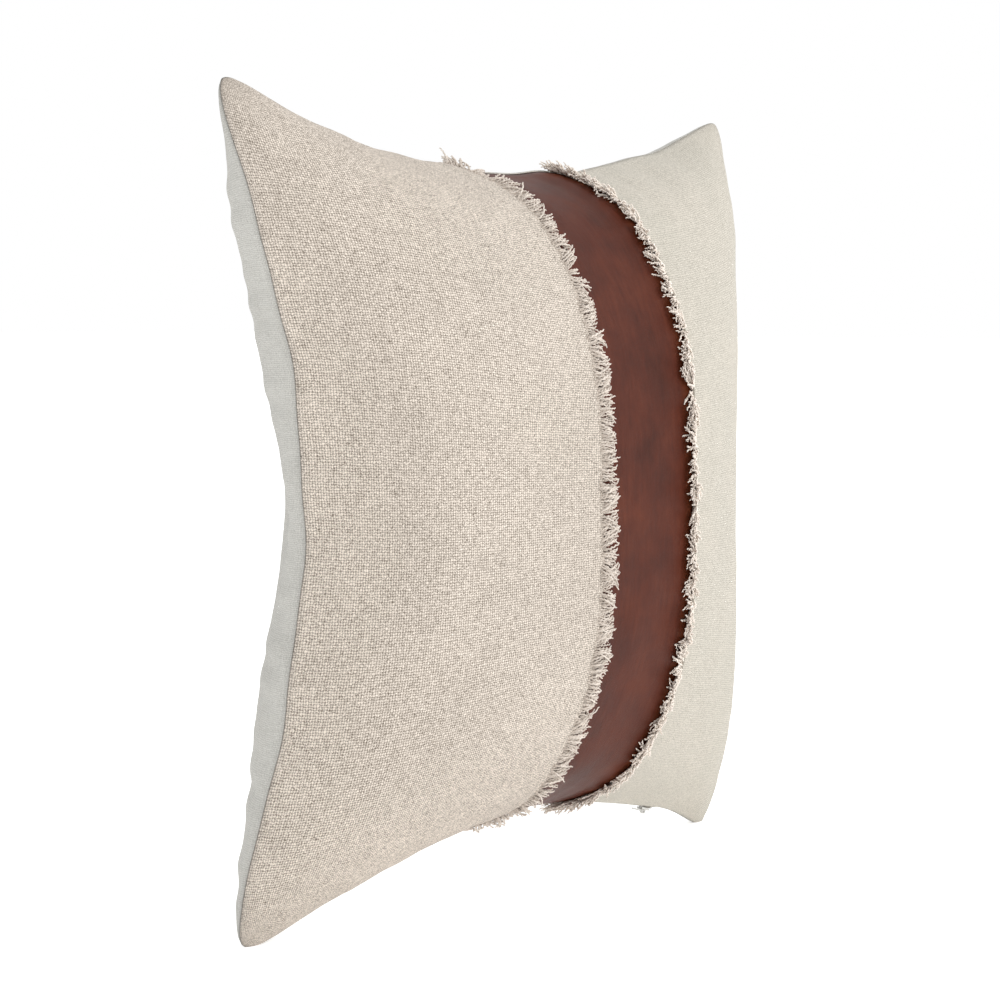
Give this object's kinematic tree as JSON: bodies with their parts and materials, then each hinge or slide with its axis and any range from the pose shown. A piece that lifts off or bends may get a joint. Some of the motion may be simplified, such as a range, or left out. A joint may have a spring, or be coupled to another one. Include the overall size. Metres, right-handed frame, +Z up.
{
  "type": "throw pillow",
  "caption": "Square stuffed throw pillow: two woven panels with frayed edges over a leather band, zipped cover around a filled insert.",
  "frame": {"origin": "under the middle of the pillow's box, at the height of its two bottom corner tips", "axes": "+Z up towards the top seam, -Y out of the front face with the leather band, +X towards the right panel as seen from the front"},
  "size_m": [0.4994, 0.202, 0.4994],
  "materials": {
    "woven_canvas": "coarse woven",
    "back_cloth": "plain woven",
    "leather": "smooth",
    "thread": "twisted",
    "ticking": "plain woven",
    "fibre_fill": "lofty fibre",
    "satin_tag": "satin",
    "zip_tape": "woven tape",
    "zip_coil": "moulded",
    "zip_metal": "brushed"
  },
  "bodies": {
    "pillow": {"front_left_panel": "woven_canvas", "front_right_panel": "woven_canvas", "leather_band": "leather", "back_panel": "back_cloth", "left_fringe": "woven_canvas", "right_fringe": "woven_canvas", "topstitch_left": "thread", "topstitch_right": "thread", "cover_seam_thread": "thread", "care_label": "satin_tag", "zip_tape_front": "zip_tape", "zip_tape_back": "zip_tape", "zip_coil_front": "zip_coil", "zip_coil_back": "zip_coil", "zip_top_stop_front": "zip_metal", "zip_top_stop_back": "zip_metal", "zip_bottom_stop": "zip_metal", "insert_shell_front": "ticking", "insert_shell_back": "ticking", "insert_seam_thread": "thread", "insert_tag": "satin_tag", "insert_fill": "fibre_fill"},
    "slider": {"zip_slider": "zip_metal"},
    "pull": {"zip_pull_tab": "zip_metal"}
  },
  "joints": [
    {"name": "zip_travel", "type": "hinge", "parent": "pillow", "child": "slider", "pos_m": [0, 0.01895, -0.5071], "axis": [0, -1, 0], "range_deg": [0, 33.5]},
    {"name": "pull_swing", "type": "hinge", "parent": "slider", "child": "pull", "pos_m": [0.15992, 0.01895, 0.01992], "axis": [0, -1, 0], "range_deg": [0, 165]}
  ]
}
